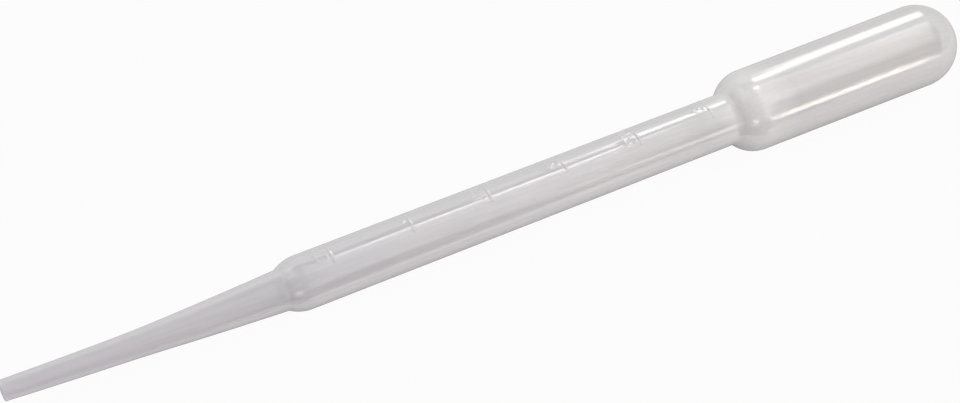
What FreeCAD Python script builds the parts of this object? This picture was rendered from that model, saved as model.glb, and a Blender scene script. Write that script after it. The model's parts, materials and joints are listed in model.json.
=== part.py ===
"""A 3 ml graduated dropper pipette, blow-moulded in one piece from soft translucent polyethylene.

Units are millimetres. In the body's own frame the pipette's axis is X: the open tip's end face is at the
origin, the squeeze bulb is at the +X end, and the raised graduation lines are on the +Z side. The body is
then laid down as it comes to rest, on the stem's lower shoulder and the bulb's neck. In that frame Z is up,
and the origin is on the surface that it lies on, under the middle of its length.
"""

import FreeCAD, Part
import math
import os

import Sketcher

Vector = FreeCAD.Vector

# Driving dimensions. Diameters are outside ones, stations are distances along the axis from the tip's end,
# and tapers are half angles in degrees.
SIZES = {
    "total_length": 155.0,
    "tip_dia": 3.0,
    "tip_taper": 1.28,
    "drawn_blend": 300.0,
    "drawn_taper": 2.96,
    "root_station": 40.2,
    "root_dia": 6.03,
    "root_fillet": 0.8,
    "shoulder_round": 6.0,
    "stem_dia": 8.0,
    "neck_station": 112.9,
    "neck_fillet": 1.4,
    "neck_round": 5.3,
    "bulb_draft": 0.26,
    "bulb_dia": 13.0,
    "tip_wall": 0.5,
    "root_wall": 0.45,
    "stem_wall": 0.42,
    "bulb_wall": 0.45,
    "first_line": 47.9,
    "line_pitch": 12.4,
    "line_count": 6,
    "line_width": 0.42,
    "line_height": 0.13,
    "line_root": 0.07,
    "line_sweep": 64.0,
}

# The outline's pieces, in order from the tip's end face, along the outside and back down the axis.
(END_FACE, TIP, TIP_BLEND, DRAWN, ROOT_FILLET, SHOULDER, STEM,
 NECK_FILLET, NECK_ROUND, BULB, DOME, AXIS) = range(12)
START, END, CENTRE = 1, 2, 3
ORIGIN = (-1, 1)
X_AXIS = -1

# Each form's radii and dome top, from the sheet. The air space is the outer form less the wall.
OUTER_FORM = {
    "tip_r": "tip_dia / 2",
    "tip_blend_r": "drawn_blend",
    "root_r": "root_dia / 2",
    "root_fillet_r": "root_fillet",
    "shoulder_r": "shoulder_round",
    "stem_r": "stem_dia / 2",
    "neck_fillet_r": "neck_fillet",
    "neck_round_r": "neck_round",
    "dome_r": "bulb_dia / 2",
    "dome_top": "total_length",
}
AIR_SPACE = {
    "tip_r": "tip_dia / 2 - tip_wall",
    "tip_blend_r": "drawn_blend + tip_wall",
    "root_r": "root_dia / 2 - root_wall",
    "root_fillet_r": "root_fillet + root_wall",
    "shoulder_r": "shoulder_round - stem_wall",
    "stem_r": "stem_dia / 2 - stem_wall",
    "neck_fillet_r": "neck_fillet + stem_wall",
    "neck_round_r": "neck_round - bulb_wall",
    "dome_r": "bulb_dia / 2 - bulb_wall",
    "dome_top": "total_length - bulb_wall",
}


def size_sheet(doc):
    """The spreadsheet that holds every driving dimension, one alias a row."""
    sheet = doc.addObject("Spreadsheet::Sheet", "sizes")
    for row, (alias, value) in enumerate(SIZES.items(), start=1):
        sheet.set(f"A{row}", alias)
        sheet.set(f"B{row}", str(value))
        sheet.setAlias(f"B{row}", alias)
    doc.recompute()
    return sheet


def from_sheet(expression):
    """The same expression for use outside the sheet, with each alias written as the sheet's."""
    return " ".join(f"sizes.{word}" if word in SIZES else word for word in expression.split())


def side_sketch(body, name):
    """A sketch on the body's own XZ plane: its X runs along the pipette and its Y is the radius."""
    sketch = body.newObject("Sketcher::SketchObject", name)
    plane = next(feature for feature in body.Origin.OriginFeatures if feature.Role == "XZ_Plane")
    sketch.AttachmentSupport = (plane, [""])
    sketch.MapMode = "FlatFace"
    return sketch


def hold(sketch, name, expression, *constraint):
    """Adds a constraint that has a size, the last of its values, and binds that size to the sheet."""
    index = sketch.addConstraint(Sketcher.Constraint(*constraint))
    sketch.renameConstraint(index, name)
    sketch.setExpression(f".Constraints.{name}", from_sheet(expression))


def line(first, last):
    return Part.LineSegment(Vector(*first, 0), Vector(*last, 0))


def arc(centre, radius, first, last):
    """An arc from the first angle anticlockwise to the last, in degrees."""
    circle = Part.Circle(Vector(*centre, 0), Vector(0, 0, 1), radius)
    return Part.ArcOfCircle(circle, math.radians(first), math.radians(last))


def near_outline(size):
    """The outline's lines and arcs, near enough to their places for the constraints to settle them."""
    root_at, neck_at = SIZES["root_station"], SIZES["neck_station"]
    tip_slope, drawn_slope = SIZES["tip_taper"], SIZES["drawn_taper"]
    tip_r, root_r, stem_r = size["tip_r"], size["root_r"], size["stem_r"]
    blend_r, fillet_r, shoulder_r = size["tip_blend_r"], size["root_fillet_r"], size["shoulder_r"]
    neck_fillet_r, neck_round_r, dome_r = size["neck_fillet_r"], size["neck_round_r"], size["dome_r"]

    # The two tapers meet at one station, and the blend takes a tangent's length from each of them.
    tip_rise, drawn_rise = math.tan(math.radians(tip_slope)), math.tan(math.radians(drawn_slope))
    meet_at = (tip_r - root_r + drawn_rise * root_at) / (drawn_rise - tip_rise)
    tangent = blend_r * math.tan(math.radians(drawn_slope - tip_slope) / 2)
    blend_from = (meet_at - tangent, tip_r + tip_rise * (meet_at - tangent))
    blend_to = (meet_at + tangent, root_r + drawn_rise * (meet_at + tangent - root_at))
    blend_centre = (blend_from[0] - blend_r * tip_rise, blend_from[1] + blend_r)

    # The shoulder and the neck are each a hollow fillet that runs into a round.
    swell = math.degrees(math.acos(1 - (stem_r - root_r) / (fillet_r + shoulder_r)))
    stem_from = root_at + (fillet_r + shoulder_r) * math.sin(math.radians(swell))
    flare = math.degrees(math.acos(1 - (dome_r - stem_r) / (neck_fillet_r + neck_round_r)))
    bulb_from = neck_at + (neck_fillet_r + neck_round_r) * math.sin(math.radians(flare))
    bulb_to = size["dome_top"] - dome_r
    return [
        line((0, 0), (0, tip_r)),
        line((0, tip_r), blend_from),
        arc(blend_centre, blend_r, 270 + tip_slope, 270 + drawn_slope),
        line(blend_to, (root_at, root_r)),
        arc((root_at, root_r + fillet_r), fillet_r, 270 + drawn_slope, 270 + swell),
        arc((stem_from, stem_r - shoulder_r), shoulder_r, 90, 90 + swell),
        line((stem_from, stem_r), (neck_at, stem_r)),
        arc((neck_at, stem_r + neck_fillet_r), neck_fillet_r, 270, 270 + flare),
        arc((bulb_from, dome_r - neck_round_r), neck_round_r, 90, 90 + flare),
        line((bulb_from, dome_r), (bulb_to, dome_r)),
        arc((bulb_to, 0), dome_r, 0, 90),
        line((size["dome_top"], 0), (0, 0)),
    ]


def form_sketch(body, sheet, name, form):
    """Half the section of a form that is round about X: straight stretches with tangent arcs between them."""
    sketch = side_sketch(body, name)
    size = {key: float(sheet.evalExpression(expression)) for key, expression in form.items()}
    sketch.addGeometry(near_outline(size), False)

    corners = [(*ORIGIN, END_FACE, START), (END_FACE, END, TIP, START),
               (DOME, START, AXIS, START), (AXIS, END, *ORIGIN)]
    smooth = [(TIP, END, TIP_BLEND, START), (TIP_BLEND, END, DRAWN, START),
              (DRAWN, END, ROOT_FILLET, START), (ROOT_FILLET, END, SHOULDER, END),
              (SHOULDER, START, STEM, START), (STEM, END, NECK_FILLET, START),
              (NECK_FILLET, END, NECK_ROUND, END), (NECK_ROUND, START, BULB, START),
              (BULB, END, DOME, END)]
    for meeting in corners:
        sketch.addConstraint(Sketcher.Constraint("Coincident", *meeting))
    for meeting in smooth:
        sketch.addConstraint(Sketcher.Constraint("Tangent", *meeting))
    sketch.addConstraint(Sketcher.Constraint("Vertical", END_FACE))
    sketch.addConstraint(Sketcher.Constraint("Horizontal", STEM))
    sketch.addConstraint(Sketcher.Constraint("Horizontal", AXIS))
    sketch.addConstraint(Sketcher.Constraint("PointOnObject", DOME, CENTRE, X_AXIS))

    for name, edge, point in (("tip_r", TIP, START), ("root_r", DRAWN, END), ("stem_r", STEM, START)):
        hold(sketch, name, form[name], "DistanceY", *ORIGIN, edge, point, size[name])
    for name, edge in (("tip_blend_r", TIP_BLEND), ("root_fillet_r", ROOT_FILLET), ("shoulder_r", SHOULDER),
                       ("neck_fillet_r", NECK_FILLET), ("neck_round_r", NECK_ROUND), ("dome_r", DOME)):
        hold(sketch, name, form[name], "Radius", edge, size[name])
    for name, edge in (("tip_taper", TIP), ("drawn_taper", DRAWN), ("bulb_draft", BULB)):
        hold(sketch, name, f"{name} * 1deg", "Angle", edge, math.radians(SIZES[name]))
    for name, edge in (("root_station", DRAWN), ("neck_station", STEM)):
        hold(sketch, name, name, "DistanceX", *ORIGIN, edge, END, SIZES[name])
    hold(sketch, "dome_top", form["dome_top"], "DistanceX", *ORIGIN, DOME, START, size["dome_top"])
    return sketch


def turned(body, kind, name, sketch):
    """A Revolution or a Groove of the sketch, all the way round the pipette's axis."""
    feature = body.newObject(kind, name)
    feature.Profile = sketch
    feature.ReferenceAxis = (sketch, ["H_Axis"])
    body.Document.recompute()
    return feature


def graduation_lines(body):
    """Raised lines on the stem, one for each half millilitre: low ridges with a round crest."""
    sketch = side_sketch(body, "line_section")
    middle, half_width = SIZES["first_line"], SIZES["line_width"] / 2
    rise = SIZES["line_root"] + SIZES["line_height"]
    foot_r = SIZES["stem_dia"] / 2 - SIZES["line_root"]
    crest_r = (half_width**2 + rise**2) / (2 * rise)
    half_angle = math.degrees(math.asin(half_width / crest_r))
    foot, crest = 0, 1
    sketch.addGeometry([
        line((middle - half_width, foot_r), (middle + half_width, foot_r)),
        arc((middle, foot_r + rise - crest_r), crest_r, 90 - half_angle, 90 + half_angle),
    ], False)
    sketch.addConstraint(Sketcher.Constraint("Horizontal", foot))
    sketch.addConstraint(Sketcher.Constraint("Coincident", crest, START, foot, END))
    sketch.addConstraint(Sketcher.Constraint("Coincident", crest, END, foot, START))
    hold(sketch, "foot_r", "stem_dia / 2 - line_root", "DistanceY", *ORIGIN, foot, START, foot_r)
    hold(sketch, "middle", "first_line", "DistanceX", *ORIGIN, crest, CENTRE, middle)
    hold(sketch, "width", "line_width", "DistanceX", foot, START, foot, END, 2 * half_width)
    hold(sketch, "crest_r",
         "( ( line_width / 2 ) ^ 2 + ( line_root + line_height ) ^ 2 ) / ( 2 * ( line_root + line_height ) )",
         "Radius", crest, crest_r)

    ridge = turned(body, "PartDesign::Revolution", "first_graduation", sketch)
    ridge.Midplane = True
    ridge.setExpression("Angle", from_sheet("line_sweep * 1deg"))

    row = body.newObject("PartDesign::LinearPattern", "graduations")
    row.Originals = [ridge]
    row.Direction = (sketch, ["H_Axis"])
    row.Mode = "Spacing"
    row.setExpression("Offset", from_sheet("line_pitch * 1mm"))
    row.setExpression("Occurrences", from_sheet("line_count"))
    body.Tip = row
    body.Document.recompute()


def rest_placement(outer):
    """Where the pipette comes to rest: its underside's common tangent, from shoulder to neck, is the floor."""
    shoulder, neck, dome = (outer.Geometry[edge] for edge in (SHOULDER, NECK_ROUND, DOME))
    along = neck.Center.x - shoulder.Center.x
    outward = neck.Center.y - shoulder.Center.y
    lean = math.atan2(outward, along)
    tilt = lean + math.asin((neck.Radius - shoulder.Radius) / math.hypot(along, outward))
    lift = shoulder.Radius + shoulder.Center.y * math.cos(tilt) - shoulder.Center.x * math.sin(tilt)
    lowest_x = -SIZES["tip_dia"] / 2 * math.sin(tilt)
    highest_x = dome.Center.x * math.cos(tilt) + dome.Radius
    base = Vector(-(lowest_x + highest_x) / 2, 0, lift)
    return FreeCAD.Placement(base, FreeCAD.Rotation(Vector(0, 1, 0), -math.degrees(tilt)))


def pipette(doc, sheet):
    """The moulding: the outer form, hollowed by the air space that is open at the tip, with its graduations."""
    body = doc.addObject("PartDesign::Body", "pipette")
    outer = form_sketch(body, sheet, "outer_form_section", OUTER_FORM)
    solid = turned(body, "PartDesign::Revolution", "outer_form", outer)
    full_volume = solid.Shape.Volume
    hollow = form_sketch(body, sheet, "air_space_section", AIR_SPACE)
    shell = turned(body, "PartDesign::Groove", "air_space", hollow)
    if shell.Shape.Volume > full_volume / 2:
        raise RuntimeError("the air space cut nothing out of the outer form")
    graduation_lines(body)
    body.Placement = rest_placement(outer)
    return body


def checked(doc):
    """Stops the run if any object of the document failed, before anything is written."""
    for item in doc.Objects:
        if "Invalid" in item.State or "Error" in item.State:
            raise RuntimeError(f"{item.Name} failed: {item.State}")
        if item.isDerivedFrom("Sketcher::SketchObject") and not item.FullyConstrained:
            raise RuntimeError(f"{item.Name} is not fully constrained")
    for body in doc.findObjects("PartDesign::Body"):
        if body.Shape.isNull() or not body.Shape.isValid() or len(body.Shape.Solids) != 1:
            raise RuntimeError(f"{body.Label} is not one valid solid")


def main():
    doc = FreeCAD.newDocument("dropper_pipette")
    sheet = size_sheet(doc)
    body = pipette(doc, sheet)
    body.Label = "pipette"
    doc.recompute()
    checked(doc)

    os.makedirs("parts", exist_ok=True)
    body.Shape.exportStep(f"parts/{body.Label}.step")
    box = body.Shape.optimalBoundingBox()
    print(f"{body.Label}: {body.Shape.Volume:.1f} mm3 of plastic")
    print(f"box {box.XMin:.3f} {box.YMin:.3f} {box.ZMin:.3f} to {box.XMax:.3f} {box.YMax:.3f} {box.ZMax:.3f}")
    print(f"placed at {tuple(body.Placement.Base)} turned {math.degrees(body.Placement.Rotation.Angle):.7f} degrees")


main()
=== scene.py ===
"""The looks of the one-piece plastic dropper pipette, laid on a pale floor under soft studio light.

The moulding is one thin-walled shell of milky, translucent polyethylene: a mesh that is turned about the
pipette's axis from the CAD model's outline, with its outside and its air space, and with the raised
graduations, numerals and parting line as real geometry. Blender's unit is the metre, and the moulding is
drawn in millimetres about its own axis before it is laid in the frame.
"""

import json
import math

import bpy
from mathutils import Matrix, Vector


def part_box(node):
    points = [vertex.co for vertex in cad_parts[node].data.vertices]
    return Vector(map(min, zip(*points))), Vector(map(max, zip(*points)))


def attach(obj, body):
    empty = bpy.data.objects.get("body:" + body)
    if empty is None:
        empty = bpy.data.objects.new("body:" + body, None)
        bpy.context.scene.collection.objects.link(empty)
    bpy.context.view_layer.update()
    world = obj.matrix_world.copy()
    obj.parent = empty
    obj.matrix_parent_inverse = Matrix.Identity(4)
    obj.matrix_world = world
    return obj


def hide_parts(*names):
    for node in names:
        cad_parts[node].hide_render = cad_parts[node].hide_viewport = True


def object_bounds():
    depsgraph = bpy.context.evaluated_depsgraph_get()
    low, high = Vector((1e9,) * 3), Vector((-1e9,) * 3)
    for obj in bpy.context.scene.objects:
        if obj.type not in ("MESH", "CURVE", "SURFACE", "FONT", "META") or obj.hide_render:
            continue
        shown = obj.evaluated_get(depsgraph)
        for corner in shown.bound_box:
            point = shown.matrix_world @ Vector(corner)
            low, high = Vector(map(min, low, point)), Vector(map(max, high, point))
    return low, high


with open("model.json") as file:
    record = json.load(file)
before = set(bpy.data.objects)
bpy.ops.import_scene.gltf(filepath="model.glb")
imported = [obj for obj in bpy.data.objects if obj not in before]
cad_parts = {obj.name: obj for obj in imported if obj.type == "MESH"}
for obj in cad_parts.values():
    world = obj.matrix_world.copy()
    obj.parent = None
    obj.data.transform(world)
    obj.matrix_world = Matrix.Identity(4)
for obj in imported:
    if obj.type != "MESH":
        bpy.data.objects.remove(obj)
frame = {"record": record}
cad_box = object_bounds()

MM = 0.001

# The moulding's sizes in millimetres, as the CAD model has them. Stations are distances along the axis
# from the tip's end, and slopes are half angles in degrees.
LENGTH = 155.0
TIP_R = 1.5
TIP_SLOPE = 1.28
DRAWN_BLEND_R = 300.0
DRAWN_SLOPE = 2.96
ROOT_AT, ROOT_R = 40.2, 3.015
ROOT_FILLET_R, SHOULDER_R = 0.8, 6.0
STEM_R = 4.0
NECK_AT = 112.9
NECK_FILLET_R, NECK_ROUND_R = 1.4, 5.3
BULB_SLOPE = 0.26
BULB_R = 6.5
TIP_WALL, ROOT_WALL, STEM_WALL, BULB_WALL = 0.5, 0.45, 0.42, 0.45

# The graduations: one raised line for each half millilitre, with its numeral on the side of the tip. The
# lines keep the CAD model's places and sweep, and their edges are run out smooth, as a moulding's are.
FIRST_LINE, LINE_PITCH = 47.9, 12.4
LINE_HALF_WIDTH, LINE_HEIGHT, LINE_HALF_SWEEP = 0.3, 0.08, math.radians(32)
NUMERALS = ("0.5", "1", "1.5", "2", "2.5", "3")
NUMERAL_TALL, NUMERAL_GAP, NUMERAL_HEIGHT = 1.7, 0.5, 0.055
STROKE_HALF_WIDTH, STROKE_SOFT = 0.12, 0.1
CHARACTER_SPACE = 0.28

# The mould's parting line runs along both sides and over the dome. The bulb's skin lies in from the CAD
# model's size by more than the parting line's height, so that the line's crest stays within that size, and
# the stem's skin by a hair, so that it stays off the floor.
SEAM_HEIGHT, SEAM_HALF_WIDTH = 0.02, math.radians(1.7)
STEM_IN, BULB_IN = 0.01, 0.04

# The mouth's edges are rounded, and the soft drawn tip is bent up by this much from its root to its end.
RIM_ROUND = 0.12
BEND_RISE = 1.3

# How fine the mesh is: the number of steps on each kind of round, on each numeral and on each raised line,
# the spacing of points on the straight stretches in millimetres, and where points stand between one raised
# line and the next, as shares of the pitch. The stem's own points keep this many millimetres off the rounds
# at its ends.
LARGE_ROUND_STEPS, BLEND_STEPS, FILLET_STEPS, RIM_STEPS = 14, 6, 4, 4
NUMERAL_STEPS, LINE_STEPS = 24, 10
TIP_SPACING, STEM_SPACING, BULB_SPACING = 1.6, 3.0, 2.5
BETWEEN_LINES = (0.12, 0.25, 0.4, 0.55, 0.7)
OFF_SHOULDER, OFF_NECK = 0.2, 0.4


# ---------------------------------------------------------------- outline

def arc_points(centre, radius, first, last, steps):
    """Points on an arc, from one angle to another in degrees, both ends included."""
    points = []
    for step in range(steps + 1):
        angle = math.radians(first + (last - first) * step / steps)
        points.append((centre[0] + radius * math.cos(angle), centre[1] + radius * math.sin(angle)))
    return points


def straight_points(first, last, spacing):
    """Points on a straight stretch, about evenly spaced, without its two ends."""
    steps = max(1, round(math.dist(first, last) / spacing))
    return [(first[0] + (last[0] - first[0]) * step / steps, first[1] + (last[1] - first[1]) * step / steps)
            for step in range(1, steps)]


def graduated_stations():
    """Stations along the stem: close together on each raised line and numeral, and wide between them."""
    stations = []
    for number in range(len(NUMERALS)):
        line_at = FIRST_LINE + LINE_PITCH * number
        numeral_to = line_at - NUMERAL_GAP
        numeral_from = numeral_to - NUMERAL_TALL - 2 * STROKE_HALF_WIDTH
        stations += [numeral_from + (numeral_to - numeral_from) * step / NUMERAL_STEPS
                     for step in range(NUMERAL_STEPS + 1)]
        stations += [line_at + LINE_HALF_WIDTH * math.sin(math.radians(180 * step / LINE_STEPS - 90))
                     for step in range(LINE_STEPS + 1)]
        stations += [line_at + LINE_PITCH * share for share in BETWEEN_LINES]
    return [station for station in stations if station < NECK_AT - OFF_NECK]


def outline(inset_tip, inset_root, inset_stem, inset_bulb, stations=None):
    """One skin's outline, from the tip's end to the top of the dome, as (station, radius) points.

    The insets are the wall's thickness on the inner skin, and nothing or nearly so on the outer one. The
    stations are the points wanted on the stem. Without them it gets evenly spaced ones.
    """
    tip_r, root_r, stem_r = TIP_R - inset_tip, ROOT_R - inset_root, STEM_R - inset_stem
    blend_r = DRAWN_BLEND_R + inset_tip
    fillet_r, shoulder_r = ROOT_FILLET_R + inset_root, SHOULDER_R - inset_stem
    neck_fillet_r, neck_round_r = NECK_FILLET_R + inset_stem, NECK_ROUND_R - inset_bulb
    dome_r, dome_at = BULB_R - inset_bulb, LENGTH - BULB_R
    tip_slope, drawn_slope = math.radians(TIP_SLOPE), math.radians(DRAWN_SLOPE)
    bulb_slope = math.radians(BULB_SLOPE)

    # The tip's two tapers, with a long blend between them.
    rise, drawn_rise = math.tan(tip_slope), math.tan(drawn_slope)
    meet_at = (tip_r - root_r + drawn_rise * ROOT_AT) / (drawn_rise - rise)
    tangent = blend_r * math.tan((drawn_slope - tip_slope) / 2)
    blend_from = meet_at - tangent * math.cos(tip_slope)
    blend_centre = (blend_from - blend_r * math.sin(tip_slope),
                    tip_r + rise * blend_from + blend_r * math.cos(tip_slope))
    points = [(0.0, tip_r)]
    blend = arc_points(blend_centre, blend_r, 270 + TIP_SLOPE, 270 + DRAWN_SLOPE, BLEND_STEPS)
    points += straight_points(points[-1], blend[0], TIP_SPACING) + blend
    points += straight_points(blend[-1], (ROOT_AT, root_r), TIP_SPACING)

    # The shoulder: a hollow fillet that runs into a round, up to the stem.
    swell = math.acos((fillet_r * math.cos(drawn_slope) + shoulder_r - (stem_r - root_r))
                      / (fillet_r + shoulder_r))
    fillet_centre = (ROOT_AT - fillet_r * math.sin(drawn_slope), root_r + fillet_r * math.cos(drawn_slope))
    stem_from = fillet_centre[0] + (fillet_r + shoulder_r) * math.sin(swell)
    points += arc_points(fillet_centre, fillet_r, 270 + DRAWN_SLOPE, 270 + math.degrees(swell), FILLET_STEPS)
    points += arc_points((stem_from, stem_r - shoulder_r), shoulder_r,
                         90 + math.degrees(swell), 90, LARGE_ROUND_STEPS)[1:]
    if stations:
        points += [(station, stem_r) for station in stations if station > stem_from + OFF_SHOULDER]
    else:
        points += straight_points(points[-1], (NECK_AT, stem_r), STEM_SPACING)

    # The neck: the same the other way about, up to the bulb's slight taper.
    dome_from = (dome_at - dome_r * math.sin(bulb_slope), dome_r * math.cos(bulb_slope))
    reach = neck_fillet_r + neck_round_r
    flare = bulb_slope + math.acos(
        (neck_round_r + math.sin(bulb_slope) * (dome_from[0] - NECK_AT)
         - math.cos(bulb_slope) * (dome_from[1] - stem_r - neck_fillet_r)) / reach)
    round_centre = (NECK_AT + reach * math.sin(flare), stem_r + neck_fillet_r - reach * math.cos(flare))
    points += arc_points((NECK_AT, stem_r + neck_fillet_r), neck_fillet_r,
                         270, 270 + math.degrees(flare), LARGE_ROUND_STEPS)
    neck_round = arc_points(round_centre, neck_round_r,
                            90 + math.degrees(flare), 90 + BULB_SLOPE, LARGE_ROUND_STEPS)[1:]
    points += neck_round + straight_points(neck_round[-1], dome_from, BULB_SPACING)

    # The dome, without the point at its very top.
    points += arc_points((dome_at, 0.0), dome_r, 90 + BULB_SLOPE, 0, 2 * LARGE_ROUND_STEPS)[:-1]
    return points, dome_at + dome_r


# ---------------------------------------------------------------- relief

# Each character as strokes in a box one unit tall and 0.6 wide: a line from point to point, or an arc with
# its centre, radius and the angles that it runs between.
CHARACTERS = {
    "0": [("arc", (0.3, 0.7), 0.27, 0, 180), ("arc", (0.3, 0.3), 0.27, 180, 360),
          ("line", (0.03, 0.3), (0.03, 0.7)), ("line", (0.57, 0.3), (0.57, 0.7))],
    "1": [("line", (0.34, 0.03), (0.34, 0.97)), ("line", (0.34, 0.97), (0.14, 0.78))],
    "2": [("arc", (0.3, 0.7), 0.27, -40, 165), ("line", (0.507, 0.526), (0.04, 0.03)),
          ("line", (0.04, 0.03), (0.57, 0.03))],
    "3": [("arc", (0.28, 0.75), 0.22, -90, 150), ("arc", (0.28, 0.28), 0.25, -150, 90)],
    "5": [("line", (0.52, 0.97), (0.12, 0.97)), ("line", (0.12, 0.97), (0.08, 0.55)),
          ("arc", (0.28, 0.31), 0.28, -150, 130)],
    ".": [("line", (0.1, 0.03), (0.1, 0.04))],
}
CHARACTER_WIDE = {"0": 0.6, "1": 0.45, "2": 0.6, "3": 0.6, "5": 0.6, ".": 0.2}

# The graduations stay on the side round the top, within the first angle of it, and each line's ends run out
# over the second, both in radians. They stay where the radius is the stem's, to within this many
# millimetres. One graduation's share of the stem begins this share of the pitch before the middle between
# two lines, because each numeral lies before its line.
GRADUATED_SIDE, LINE_END_SOFT = 1.0, 0.05
STEM_ONLY = 0.1
NUMERAL_SHARE = 0.1


def stroke_distance(stroke, x, y):
    """How far a point is from a stroke's middle line, in the character's own unit."""
    if stroke[0] == "line":
        (x0, y0), (x1, y1) = stroke[1:]
        along = ((x - x0) * (x1 - x0) + (y - y0) * (y1 - y0)) / ((x1 - x0) ** 2 + (y1 - y0) ** 2)
        along = min(1.0, max(0.0, along))
        return math.hypot(x - x0 - along * (x1 - x0), y - y0 - along * (y1 - y0))
    centre, radius, first, last = stroke[1:]
    angle = math.degrees(math.atan2(y - centre[1], x - centre[0]))
    turn = (angle - first) % 360
    if turn <= last - first:
        return abs(math.hypot(x - centre[0], y - centre[1]) - radius)
    ends = [math.radians(first), math.radians(last)]
    return min(math.hypot(x - centre[0] - radius * math.cos(end), y - centre[1] - radius * math.sin(end))
               for end in ends)


def smooth(share):
    """Eases from 0 to 1."""
    share = min(1.0, max(0.0, share))
    return share * share * (3 - 2 * share)


def text_distance(text, across, up):
    """How far a point is from the nearest stroke of a centred line of text, in millimetres."""
    wide = (sum(CHARACTER_WIDE[character] for character in text) * NUMERAL_TALL
            + CHARACTER_SPACE * (len(text) - 1))
    start = -wide / 2
    nearest = math.inf
    for character in text:
        for stroke in CHARACTERS[character]:
            found = stroke_distance(stroke, (across - start) / NUMERAL_TALL, up / NUMERAL_TALL)
            nearest = min(nearest, found * NUMERAL_TALL)
        start += CHARACTER_WIDE[character] * NUMERAL_TALL + CHARACTER_SPACE
    return nearest


def relief(station, angle, radius):
    """How far the outer skin stands up from its turned form, in millimetres: graduations and parting line.

    The angle is from the graduations' side of the pipette, and the numerals are read with the bulb up.
    """
    raised = 0.0
    number = round((station - FIRST_LINE) / LINE_PITCH + NUMERAL_SHARE)
    on_stem = radius > STEM_R - STEM_ONLY
    if on_stem and 0 <= number < len(NUMERALS) and abs(angle) < GRADUATED_SIDE:
        line_at = FIRST_LINE + LINE_PITCH * number
        crest = smooth(1 - abs(station - line_at) / LINE_HALF_WIDTH)
        raised = LINE_HEIGHT * crest * smooth((LINE_HALF_SWEEP - abs(angle)) / LINE_END_SOFT)
        up = station - (line_at - NUMERAL_GAP - NUMERAL_TALL - STROKE_HALF_WIDTH)
        if -STROKE_HALF_WIDTH <= up <= NUMERAL_TALL + STROKE_HALF_WIDTH:
            away = text_distance(NUMERALS[number], -angle * STEM_R, up)
            inward = STROKE_HALF_WIDTH + STROKE_SOFT - away
            raised = max(raised, NUMERAL_HEIGHT * smooth(inward / STROKE_SOFT / 2))
    from_seam = abs(abs(angle) - math.pi / 2)
    return max(raised, SEAM_HEIGHT * smooth(1 - from_seam / SEAM_HALF_WIDTH))


def column_angles():
    """Angles of the mesh's lengthwise lines: close together on the numerals and on the parting line.

    One half is laid out in degrees, from the top over the numerals, the raised lines' ends, the side, the
    parting line and the underside. The other half is its mirror image.
    """
    numerals = [0.9 * step for step in range(23)]
    line_ends = [21.4, 23.5, 26, 29, 30.5, 31.2, 32, 33]
    side = [36 + 3.4 * step for step in range(15)]
    seam = [86.5, 88.2, 88.9, 89.45, 90, 90.55, 91.1, 91.8, 93.5]
    underside = [97 + 3.32 * step for step in range(25)]
    half = numerals + line_ends + side + seam + underside
    return [math.radians(angle) for angle in half + [180] + [-angle for angle in reversed(half[1:])]]


# ---------------------------------------------------------------- mesh

# The places of the two materials on the mesh.
OUTSIDE, INSIDE = 0, 1


def moulding_mesh():
    """The whole shell as one closed mesh: outer skin, rounded mouth and inner skin, each with its dome."""
    outer, outer_top = outline(0.0, 0.0, STEM_IN, BULB_IN, graduated_stations())
    inner, inner_top = outline(TIP_WALL, ROOT_WALL, STEM_WALL, BULB_WALL)
    outer_edge = arc_points((RIM_ROUND, outer[0][1] - RIM_ROUND), RIM_ROUND, 90, 180, RIM_STEPS)
    inner_edge = arc_points((RIM_ROUND, inner[0][1] + RIM_ROUND), RIM_ROUND, 180, 270, RIM_STEPS)
    rings = [(station, radius, True) for station, radius in reversed(outer[1:])]
    rings += [(station, radius, False) for station, radius in outer_edge + inner_edge + inner[1:]]

    angles = column_angles()
    vertices = []
    for station, radius, has_relief in rings:
        for angle in angles:
            out = radius + (relief(station, angle, radius) if has_relief else 0.0)
            vertices.append((station, -out * math.sin(angle), out * math.cos(angle)))
    poles = (len(vertices), len(vertices) + 1)
    vertices += [(outer_top, 0.0, 0.0), (inner_top, 0.0, 0.0)]

    columns = len(angles)
    faces = []
    for ring in range(len(rings) - 1):
        for column in range(columns):
            following = (column + 1) % columns
            near, far = ring * columns, (ring + 1) * columns
            faces.append((near + column, near + following, far + following, far + column))
    last = (len(rings) - 1) * columns
    for column in range(columns):
        following = (column + 1) % columns
        faces.append((poles[0], following, column))
        faces.append((poles[1], last + column, last + following))

    mesh = bpy.data.meshes.new("pipette_shell")
    mesh.from_pydata(vertices, [], faces)
    first_inside = (len(outer) - 1 + len(outer_edge) + len(inner_edge) - 1) * columns
    for polygon in mesh.polygons:
        inside = polygon.index >= first_inside and poles[0] not in polygon.vertices
        polygon.material_index = INSIDE if inside else OUTSIDE
    return mesh


def rest_matrix():
    """From the pipette's own millimetres to the frame's metres, from the stem mount and the part's box."""
    stem = next(mount for mount in frame["record"]["mounts"] if mount["name"] == "stem")
    along = -Vector(stem["axis"]).normalized()
    on_axis = Vector(stem["pos_m"])
    low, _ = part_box("pipette")
    tip_x = low.x + TIP_R * MM * along.z
    tip = on_axis + along * ((tip_x - on_axis.x) / along.x)
    side = Vector((0.0, 1.0, 0.0))
    turn = Matrix((along, side, along.cross(side))).transposed().to_4x4()
    return Matrix.Translation(tip) @ turn @ Matrix.Scale(MM, 4)


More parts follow.
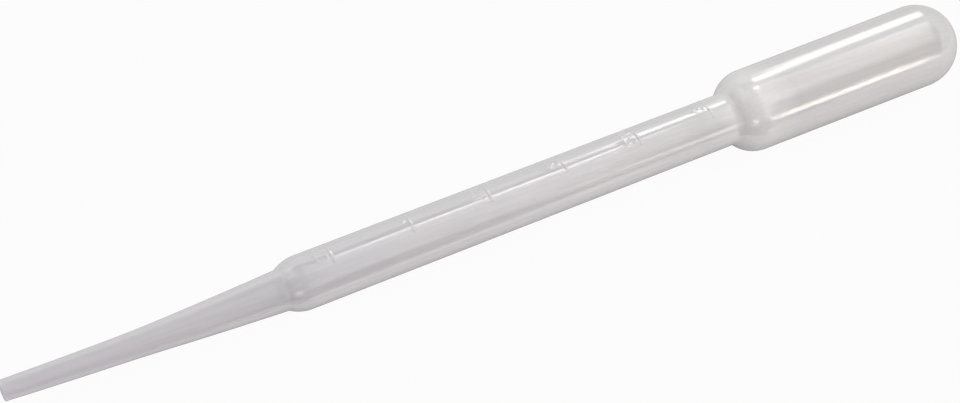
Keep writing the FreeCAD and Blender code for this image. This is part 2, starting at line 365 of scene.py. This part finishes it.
def make_pipette():
    """The moulding as it lies, with its tip bent up, in place of the CAD model's plain one."""
    mesh = moulding_mesh()
    at_rest = rest_matrix()
    for vertex in mesh.vertices:
        share = max(0.0, 1 - vertex.co.x / ROOT_AT)
        vertex.co = at_rest @ vertex.co + Vector((0.0, 0.0, BEND_RISE * MM * share * share))
    mesh.polygons.foreach_set("use_smooth", [True] * len(mesh.polygons))
    piece = bpy.data.objects.new("pipette_shell", mesh)
    bpy.context.scene.collection.objects.link(piece)
    mesh.materials.append(polyethylene("polyethylene_outside", OUTSIDE_CLEARNESS, OUTSIDE_ROUGHNESS))
    mesh.materials.append(polyethylene("polyethylene_inside", INSIDE_CLEARNESS, INSIDE_ROUGHNESS))
    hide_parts("pipette")
    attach(piece, "root")


# ---------------------------------------------------------------- materials

# The plastic's own colour with painted light in it: a cool tint at the tip and a warm one at the bulb stand
# in for the colour of the light there.
TIP_COLOUR_AND_COOL_LIGHT, BULB_COLOUR_AND_WARM_LIGHT = (0.895, 0.875, 0.91, 1.0), (0.935, 0.91, 0.895, 1.0)
WHITE = (1.0, 1.0, 1.0, 1.0)
REFRACTION = 1.51

# How clear and how rough each skin is along the pipette, as stops of (distance from the tip's end, number).
# The wall is milkier at the bulb's neck, and smoothest in the drawn tip.
OUTSIDE_CLEARNESS = ((0, 0.67), (40, 0.64), (108, 0.64), (116, 0.4), (123, 0.64))
INSIDE_CLEARNESS = ((0, 0.75), (108, 0.75), (116, 0.45), (123, 0.75))
OUTSIDE_ROUGHNESS = ((0, 0.08), (40, 0.16))
INSIDE_ROUGHNESS = ((0, 0.10), (40, 0.26))

# The plastic's unevenness, each kind as its grains' length along the pipette and width across it in
# millimetres, and its detail: the haze in the wall, the flow lines from the drawing and the mould's orange
# peel. Then how dark haze and flow lines get, how deep the lines and the peel are in millimetres, and by how
# much the peel changes the roughness.
HAZE_GRAIN, FLOW_GRAIN, PEEL_GRAIN = (14.0, 2.2, 3.0), (40.0, 0.5, 2.0), (1.6, 1.1, 1.0)
HAZE_DARK, FLOW_DARK = (0.97, 0.97, 0.97, 1.0), (0.94, 0.94, 0.94, 1.0)
FLOW_DEPTH, PEEL_DEPTH = 0.005, 0.0015
PEEL_SMOOTHEST, PEEL_ROUGHEST = 0.9, 1.15
NOISE_LOW, NOISE_HIGH = 0.3, 0.7


def stretched_noise(nodes, links, along, across, detail):
    """Noise whose grains are this long and this wide in millimetres, along and across the pipette."""
    place = nodes.new("ShaderNodeTexCoord")
    mapping = nodes.new("ShaderNodeMapping")
    mapping.inputs["Scale"].default_value = (1 / (along * MM), 1 / (across * MM), 1 / (across * MM))
    noise = nodes.new("ShaderNodeTexNoise")
    noise.inputs["Scale"].default_value = 1.0
    noise.inputs["Detail"].default_value = detail
    links.new(place.outputs["Object"], mapping.inputs["Vector"])
    links.new(mapping.outputs["Vector"], noise.inputs["Vector"])
    return noise.outputs["Fac"]


def between(nodes, links, source, low, high):
    """A number that runs from low to high as a noise runs through its usual range."""
    spread = nodes.new("ShaderNodeMapRange")
    spread.inputs["From Min"].default_value = NOISE_LOW
    spread.inputs["From Max"].default_value = NOISE_HIGH
    spread.inputs["To Min"].default_value = low
    spread.inputs["To Max"].default_value = high
    links.new(source, spread.inputs["Value"])
    return spread.outputs["Result"]


def bump(nodes, links, height, depth, under=None):
    """A bump of this depth in millimetres, over another one if it is given."""
    node = nodes.new("ShaderNodeBump")
    node.inputs["Distance"].default_value = depth * MM
    links.new(height, node.inputs["Height"])
    if under:
        links.new(under, node.inputs["Normal"])
    return node.outputs["Normal"]


def along_the_pipette(nodes, links):
    """A number that runs from 0 at the tip's end to 1 at the top of the bulb."""
    place = nodes.new("ShaderNodeTexCoord")
    split = nodes.new("ShaderNodeSeparateXYZ")
    share = nodes.new("ShaderNodeMapRange")
    share.inputs["From Min"].default_value = cad_box[0].x
    share.inputs["From Max"].default_value = cad_box[1].x
    links.new(place.outputs["Object"], split.inputs["Vector"])
    links.new(split.outputs["X"], share.inputs["Value"])
    return share.outputs["Result"]


def mixed(nodes, links, kind, factor, first, second):
    """A mix of two colours, each one either a constant or another node's output."""
    mix = nodes.new("ShaderNodeMix")
    mix.data_type = "RGBA"
    mix.blend_type = kind
    for name, value in (("Factor", factor), ("A", first), ("B", second)):
        socket = next(socket for socket in mix.inputs if socket.name == name and socket.enabled)
        if isinstance(value, bpy.types.NodeSocket):
            links.new(value, socket)
        else:
            socket.default_value = value
    return next(socket for socket in mix.outputs if socket.enabled)


def ramp(nodes, links, place, stops):
    """A number that changes along the pipette, from stops of (distance from the tip's end, number)."""
    node = nodes.new("ShaderNodeValToRGB")
    steps = node.color_ramp.elements
    while len(steps) < len(stops):
        steps.new(0.5)
    for step, (station, number) in zip(steps, stops):
        step.position = station / LENGTH
        step.color = (number, number, number, 1.0)
    links.new(place, node.inputs["Fac"])
    return node.outputs["Color"]


def polyethylene(name, clearness, roughness):
    """Natural low-density polyethylene: milky, with soft gloss, an uneven haze and faint flow lines.

    The colour is the plastic's own, with painted light in it: a cool tint at the tip and a warm one at the
    bulb stand in for the colour of the light there. Clearness and roughness are stops along the pipette.
    """
    material = bpy.data.materials.new(name)
    material.use_nodes = True
    nodes, links = material.node_tree.nodes, material.node_tree.links
    shader = nodes["Principled BSDF"]
    shader.inputs["IOR"].default_value = REFRACTION

    place = along_the_pipette(nodes, links)
    haze = stretched_noise(nodes, links, *HAZE_GRAIN)
    flow = stretched_noise(nodes, links, *FLOW_GRAIN)
    peel = stretched_noise(nodes, links, *PEEL_GRAIN)

    # The colour: a slow change along the pipette, a painted tint of cool light at the tip and of warm light
    # at the bulb, and darker in the haze's thicker places and along the lines.
    colour = mixed(nodes, links, "MIX", place, TIP_COLOUR_AND_COOL_LIGHT, BULB_COLOUR_AND_WARM_LIGHT)
    cloudy = mixed(nodes, links, "MIX", between(nodes, links, haze, 0.0, 1.0), HAZE_DARK, WHITE)
    lined = mixed(nodes, links, "MIX", between(nodes, links, flow, 0.0, 1.0), FLOW_DARK, WHITE)
    colour = mixed(nodes, links, "MULTIPLY", 1.0, colour, cloudy)
    links.new(mixed(nodes, links, "MULTIPLY", 1.0, colour, lined), shader.inputs["Base Color"])
    links.new(ramp(nodes, links, place, clearness), shader.inputs["Transmission Weight"])

    # The surface: long flow lines from the drawing, and over them the fine orange peel of the mould.
    uneven = nodes.new("ShaderNodeMath")
    uneven.operation = "MULTIPLY"
    links.new(ramp(nodes, links, place, roughness), uneven.inputs[0])
    links.new(between(nodes, links, peel, PEEL_SMOOTHEST, PEEL_ROUGHEST), uneven.inputs[1])
    links.new(uneven.outputs[0], shader.inputs["Roughness"])
    lines = bump(nodes, links, flow, FLOW_DEPTH)
    links.new(bump(nodes, links, peel, PEEL_DEPTH, lines), shader.inputs["Normal"])
    return material


# ---------------------------------------------------------------- studio

# The camera's direction and roll, its distance in metres, its lens and sensor in millimetres, and the point
# that it is aimed at, also in millimetres: this far along the pipette's axis, and this far above it in the
# picture. Then the nearest and farthest distances that it sees, in metres.
AZIMUTH, ELEVATION, ROLL = math.radians(-28.15), math.radians(41.22), math.radians(-0.174)
DISTANCE, LENS, SENSOR = 0.3, 78.4, 36.0
AIM_AT, AIM_ABOVE = 71.6, 1.78
NEAR_CLIP, FAR_CLIP = 0.01, 20.0

# The floor reaches this far each way, in metres. It is grey paper mixed with plain white: the white's share
# is nearly all of what the camera sees, and little of what gloss and clear plastic see or of what lights the
# object. The paper shines only for rays off gloss. The world's strength is given in the same order: for the
# camera, for gloss and clear plastic, and for all else.
FLOOR_HALF = 1.5
PAPER_COLOUR, PAPER_ROUGHNESS, PAPER_SHINE = (0.36, 0.33, 0.34, 1.0), 0.05, 0.25
FLOOR_WHITE = (0.96, 0.24, 0.15)
WORLD_WHITE = (1.0, 0.48, 0.59)

# The lamps run parallel to the pipette, each this far from it in metres. Elevation is a lamp's height in
# degrees round the pipette, from the horizon in front, over the top and down to the horizon behind, and wide
# is how much of that it covers. First and last are its ends along X in metres, and bright is how bright it
# looks, where white paper in plain light is 1.
LAMP_REACH = 0.45
PLAIN, WARM = (1.0, 1.0, 1.0), (1.0, 0.96, 0.88)
LAMPS = (
    # name, elevation, wide, first, last, bright, colour
    ("overhead_strip", 96, 5, 0.07, 0.21, 11.0, PLAIN),
    ("bulb_softbox", 72, 54, 0.26, 0.37, 1.6, PLAIN),
    ("stem_softbox", 53, 84, 0.07, 0.26, 1.75, PLAIN),
    ("front_strip", 1, 8, 0.25, 0.342, 9.0, WARM),
    ("front_strip_end", 6.5, 6, 0.17, 0.25, 5.0, WARM),
    ("back_strip", 131, 22, 0.265, 0.363, 0.7, PLAIN),
    ("back_strip_end", 121, 14, 0.19, 0.265, 0.8, PLAIN),
    ("left_high", 105, 50, -0.45, -0.12, 1.3, PLAIN),
    ("left_front", 5, 9, -0.30, -0.12, 6.0, PLAIN),
)


def make_camera():
    """The photograph's viewing angle: from the tip's side, 41 degrees above the floor."""
    back = Vector((math.sin(AZIMUTH) * math.cos(ELEVATION), -math.cos(AZIMUTH) * math.cos(ELEVATION),
                   math.sin(ELEVATION)))
    right = Vector((math.cos(AZIMUTH), math.sin(AZIMUTH), 0.0))
    up = back.cross(right)
    target = rest_matrix() @ Vector((AIM_AT, 0.0, 0.0)) + up * AIM_ABOVE * MM
    data = bpy.data.cameras.new("camera")
    data.lens, data.sensor_width = LENS, SENSOR
    data.clip_start, data.clip_end = NEAR_CLIP, FAR_CLIP
    camera = bpy.data.objects.new("camera", data)
    camera.matrix_world = (Matrix.Translation(target + back * DISTANCE)
                           @ Matrix((right, up, back)).transposed().to_4x4() @ Matrix.Rotation(ROLL, 4, "Z"))
    bpy.context.scene.collection.objects.link(camera)
    bpy.context.scene.camera = camera


def seen_share(nodes, links, by_camera, by_gloss, by_others):
    """One number for camera rays, one for rays off gloss or through clear plastic, and one for all others."""
    path = nodes.new("ShaderNodeLightPath")
    camera = nodes.new("ShaderNodeMath")
    camera.operation = "MULTIPLY_ADD"
    camera.inputs[1].default_value = by_camera - by_others
    camera.inputs[2].default_value = by_others
    links.new(path.outputs["Is Camera Ray"], camera.inputs[0])
    either = nodes.new("ShaderNodeMath")
    either.operation = "MAXIMUM"
    links.new(path.outputs["Is Glossy Ray"], either.inputs[0])
    links.new(path.outputs["Is Transmission Ray"], either.inputs[1])
    total = nodes.new("ShaderNodeMath")
    total.operation = "MULTIPLY_ADD"
    total.inputs[1].default_value = by_gloss - by_others
    links.new(either.outputs[0], total.inputs[0])
    links.new(camera.outputs[0], total.inputs[2])
    return total.outputs[0]


def make_floor():
    """A plain floor under the pipette that the camera sees as white, with a faint shadow."""
    mesh = bpy.data.meshes.new("floor")
    corners = [(-FLOOR_HALF, -FLOOR_HALF), (FLOOR_HALF, -FLOOR_HALF), (FLOOR_HALF, FLOOR_HALF),
               (-FLOOR_HALF, FLOOR_HALF)]
    mesh.from_pydata([(x, y, cad_box[0].z) for x, y in corners], [], [(0, 1, 2, 3)])
    floor = bpy.data.objects.new("floor", mesh)
    bpy.context.scene.collection.objects.link(floor)

    material = bpy.data.materials.new("floor")
    material.use_nodes = True
    nodes, links = material.node_tree.nodes, material.node_tree.links
    nodes.clear()
    paper = nodes.new("ShaderNodeBsdfPrincipled")
    paper.inputs["Base Color"].default_value = PAPER_COLOUR
    paper.inputs["Roughness"].default_value = PAPER_ROUGHNESS
    path = nodes.new("ShaderNodeLightPath")
    shine = nodes.new("ShaderNodeMath")
    shine.operation = "MULTIPLY"
    shine.inputs[1].default_value = PAPER_SHINE
    links.new(path.outputs["Is Glossy Ray"], shine.inputs[0])
    links.new(shine.outputs[0], paper.inputs["Specular IOR Level"])
    white = nodes.new("ShaderNodeEmission")
    mix = nodes.new("ShaderNodeMixShader")
    output = nodes.new("ShaderNodeOutputMaterial")
    links.new(seen_share(nodes, links, *FLOOR_WHITE), mix.inputs["Fac"])
    links.new(paper.outputs[0], mix.inputs[1])
    links.new(white.outputs[0], mix.inputs[2])
    links.new(mix.outputs[0], output.inputs["Surface"])
    mesh.materials.append(material)


def make_world():
    """White where the camera sees it, and a weaker even light from all round on the object."""
    world = bpy.data.worlds.new("studio")
    bpy.context.scene.world = world
    world.use_nodes = True
    nodes, links = world.node_tree.nodes, world.node_tree.links
    background = nodes["Background"]
    background.inputs["Color"].default_value = WHITE
    links.new(seen_share(nodes, links, *WORLD_WHITE), background.inputs["Strength"])


def make_lamp(name, elevation, wide, first, last, bright, colour):
    """One of the lamps, aimed straight at the pipette."""
    size = 2 * LAMP_REACH * math.tan(math.radians(wide / 2))
    data = bpy.data.lights.new(name, "AREA")
    data.shape = "RECTANGLE"
    data.size, data.size_y = last - first, size
    data.energy = bright * math.pi * (last - first) * size
    data.color = colour
    middle = Vector(((first + last) / 2, 0.0, 0.0))
    angle = math.radians(elevation)
    place = middle + Vector((0.0, -LAMP_REACH * math.cos(angle), LAMP_REACH * math.sin(angle)))
    lamp = bpy.data.objects.new(name, data)
    lamp.matrix_world = (Matrix.Translation(place)
                         @ (middle - place).to_track_quat("-Z", "Y").to_matrix().to_4x4())
    bpy.context.scene.collection.objects.link(lamp)


make_pipette()
make_floor()
make_world()
for lamp in LAMPS:
    make_lamp(*lamp)
make_camera()
bpy.context.scene.view_settings.view_transform = "Standard"
